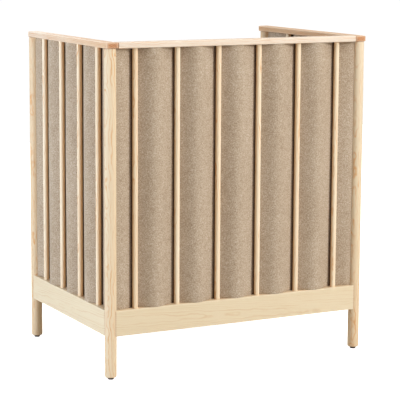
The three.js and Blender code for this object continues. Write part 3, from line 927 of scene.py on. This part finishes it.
def inflate(made, cap):
    """Fills the cover: cloth with air pressure inside, moved no further than cap."""
    remesh = made.modifiers.new("remesh", "REMESH")
    remesh.mode, remesh.voxel_size = "VOXEL", VOXEL
    apply_modifiers(made)
    rest = coordinates(made.data)
    scene = bpy.context.scene
    cloth = made.modifiers.new("cloth", "CLOTH")
    cloth.settings.use_pressure = True
    cloth.settings.uniform_pressure_force = 4
    cloth.settings.effector_weights.gravity = 0
    cloth.settings.quality = 5
    cloth.point_cache.frame_start, cloth.point_cache.frame_end = 1, FILL_FRAMES
    for f in range(1, FILL_FRAMES + 1):
        scene.frame_set(f)
    apply_modifiers(made)
    scene.frame_set(1)
    moved = coordinates(made.data) - rest
    far = np.linalg.norm(moved, axis=1, keepdims=True)
    moved *= np.minimum(1, cap / np.maximum(far, NOTHING))
    made.data.vertices.foreach_set("co", (rest + moved).ravel())
    made.data.update()


def quilted(co, low, high):
    """The cover's vertices with quilting lines pressed into its top, crowned squares and small wrinkles."""
    middle = (low[2] + high[2]) / 2
    top = np.clip((co[:, 2] - middle) / (8 * MM), 0, 1)
    base = np.clip((middle - co[:, 2]) / (8 * MM), 0, 1)
    seam = np.zeros(len(co))
    crown = np.ones(len(co))
    for axis, count in enumerate(QUILT):
        width = (high[axis] - low[axis]) / count
        part = (co[:, axis] - low[axis]) / width
        for k in range(1, count):
            seam = np.maximum(seam, np.exp(-((part - k) * width / QUILT_WIDTH) ** 2))
        crown *= np.abs(np.sin(math.pi * part)) ** 0.35
    wrinkle = np.array([noise.fractal(Vector(p) * 22, 1.0, 2.0, 3) for p in co]) * 0.7 * MM
    co[:, 2] += top * (-QUILT_DEPTH * seam + QUILT_CROWN * crown + wrinkle) + base * QUILT_CROWN * seam
    return np.clip(co, low + 0.2 * MM, high - 0.2 * MM)


def make_mat():
    low, high = box_of("floor_mat")
    start, end = low + [MAT_INSET, MAT_INSET, 1 * MM], high - [MAT_INSET, MAT_INSET, MAT_SLACK]
    v, f, _ = rounded_block(start, end, (MAT_CORNER, MAT_CORNER, MAT_EDGE), ring=20 * MM)
    made = piece("floor_mat_cover", v, f, MAT_COTTON, None, None, sharp=0)
    inflate(made, MAT_SWELL)
    subdivide = made.modifiers.new("fine", "SUBSURF")
    subdivide.levels = subdivide.render_levels = 1
    apply_modifiers(made)
    co = quilted(coordinates(made.data), low, high)
    made.data.vertices.foreach_set("co", co.ravel())
    made.data.update()
    smooth(made, 0)
    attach(made, "mat")
    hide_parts("floor_mat")
    surface = BVHTree.FromPolygons([tuple(p) for p in co], [tuple(p.vertices) for p in made.data.polygons])
    make_piping(low, high, surface)
    make_stitches(low, high, surface)


def outline(low, high, corner, step):
    """Points round a rectangle with rounded corners, evenly spaced."""
    x, y = (high[0] - low[0]) / 2 - corner, (high[1] - low[1]) / 2 - corner
    centre = (low + high) / 2
    points = []
    for k, (sx, sy) in enumerate(((1, 1), (-1, 1), (-1, -1), (1, -1))):
        for a in np.linspace(0, 90, 9):
            angle = math.radians(90 * k + a)
            x_out, y_out = corner * math.cos(angle), corner * math.sin(angle)
            points.append((centre[0] + sx * x + x_out, centre[1] + sy * y + y_out))
    points.append(points[0])
    points = np.array(points)
    lengths = np.concatenate([[0], np.cumsum(np.linalg.norm(np.diff(points, axis=0), axis=1))])
    at = np.linspace(0, lengths[-1], int(lengths[-1] / step), endpoint=False)
    return np.stack([np.interp(at, lengths, points[:, i]) for i in range(2)], 1)


def make_piping(low, high, surface):
    """A cord round the mat near its top and one near its bottom, drawn onto the filled cover."""
    for name, z in (("top", high[2] - 8 * MM), ("bottom", low[2] + 6 * MM)):
        path = []
        for x, y in outline(low, high, 25 * MM, 5 * MM):
            spot, normal, _, _ = surface.find_nearest(Vector((x, y, z)))
            path.append(np.array(spot + normal * 0.3 * PIPE_RADIUS))
        path = np.array(path)
        for _ in range(8):
            path = (np.roll(path, 1, 0) + 2 * path + np.roll(path, -1, 0)) / 4
        path[:, :2] = np.clip(path[:, :2], low[:2] + PIPE_RADIUS, high[:2] - PIPE_RADIUS)
        v, f = tube(path, PIPE_RADIUS, 12, True)
        piece(f"floor_mat_piping_{name}", v, f, PIPING_COTTON, "mat", "mat_cotton", sharp=0)


def make_stitches(low, high, surface):
    """Short thread stitches along the quilting lines."""
    stitches = []
    for axis, count in enumerate(QUILT):
        other = 1 - axis
        for k in range(1, count):
            at = low[axis] + (high[axis] - low[axis]) * k / count
            place = low[other] + STITCH_MARGIN
            while place < high[other] - STITCH_MARGIN:
                points = []
                for share in (0, 0.25, 0.5, 0.75, 1):
                    p = np.zeros(3)
                    p[axis], p[other], p[2] = at, place + share * STITCH_LENGTH, high[2] + 20 * MM
                    hit = surface.ray_cast(Vector(p), Vector((0, 0, -1)))[0]
                    lift = STITCH_RADIUS * (1.1 - 2.0 * (2 * share - 1) ** 4)
                    points.append(np.array(hit) + [0, 0, lift])
                stitches.append(tube(points, STITCH_RADIUS, 6, False))
                place += STITCH_LENGTH + STITCH_GAP
    piece("floor_mat_stitching", *joined(stitches), THREAD, "mat", "mat_cotton", sharp=0)


make_mat()

# ---------------------------------------------------------------- stage and light

WHITE = (1, 1, 1, 1)
FLOOR_REACH = 5.0
FLOOR_DARK, FLOOR_PALE = (0.67, 0.64, 0.59, 1), (0.71, 0.68, 0.63, 1)
FLOOR_GLOW = 0.92  # how brightly the floor shines where it is looked at
SKY = ((0.0, (0.05, 0.034, 0.021, 1)), (0.35, (0.07, 0.05, 0.035, 1)), (0.9, (0.36, 0.36, 0.36, 1)))
SKY_SEEN = (1.02, 1.02, 1.02, 1)
AIM = Vector((0, 0, 0.5))


def softbox(name, azimuth, elevation, distance, size, power, colour=(1, 1, 1)):
    """An area light aimed at the pen. Azimuth 0 is in front of the wide wall and grows towards +X."""
    data = bpy.data.lights.new(name, "AREA")
    data.shape, data.size, data.size_y = "RECTANGLE", *size
    data.energy, data.color = power, colour
    a, e = math.radians(azimuth), math.radians(elevation)
    away = Vector((math.sin(a) * math.cos(e), -math.cos(a) * math.cos(e), math.sin(e)))
    light = bpy.data.objects.new(name, data)
    light.location = AIM + away * distance
    light.rotation_euler = away.to_track_quat("Z", "Y").to_euler()
    bpy.context.scene.collection.objects.link(light)


def make_floor_paper():
    mesh = bpy.data.meshes.new("studio_floor")
    corners = [(x * FLOOR_REACH, y * FLOOR_REACH, 0) for x, y in ((-1, -1), (1, -1), (1, 1), (-1, 1))]
    mesh.from_pydata(corners, [], [(0, 1, 2, 3)])
    material, tree, surface = shader("studio_paper")
    fibre = noisy(tree, object_place(tree), 60.0)
    tree.links.new(mixed(tree, fibre, FLOOR_DARK, FLOOR_PALE), surface.inputs["Base Color"])
    surface.inputs["Roughness"].default_value = 0.9
    surface.inputs["Emission Color"].default_value = WHITE
    looked_at = node(tree, "LightPath").outputs["Is Camera Ray"]
    tree.links.new(span(tree, looked_at, 0.0, 1.0, 0.0, FLOOR_GLOW), surface.inputs["Emission Strength"])
    mesh.materials.append(material)
    floor = bpy.data.objects.new("studio_floor", mesh)
    bpy.context.scene.collection.objects.link(floor)


def make_sky():
    """A dim dome that lights the pen from above, and is white where it is looked at."""
    world = bpy.data.worlds.new("studio")
    world.use_nodes = True
    bpy.context.scene.world = world
    tree = world.node_tree
    seen = node(tree, "LightPath").outputs["Is Camera Ray"]
    height = node(tree, "SeparateXYZ", {0: node(tree, "TexCoord").outputs["Generated"]}).outputs[2]
    colour = mixed(tree, seen, ramp(tree, height, *SKY), SKY_SEEN)
    tree.links.new(colour, tree.nodes["Background"].inputs["Color"])


make_floor_paper()
make_sky()
softbox("key_front", azimuth=30, elevation=24, distance=9.0, size=(1.0, 2.2), power=475)
softbox("key_left", azimuth=-92, elevation=12, distance=5.0, size=(1.1, 3.0), power=182,
        colour=(0.85, 0.95, 1.1))
softbox("overhead", azimuth=5, elevation=60, distance=4.5, size=(3.2, 1.8), power=76)
softbox("fill_right", azimuth=120, elevation=22, distance=5.0, size=(2.5, 2.5), power=90)
softbox("fill_back", azimuth=178, elevation=28, distance=5.5, size=(3.0, 2.5), power=90)
bpy.context.scene.view_settings.view_transform = "Standard"
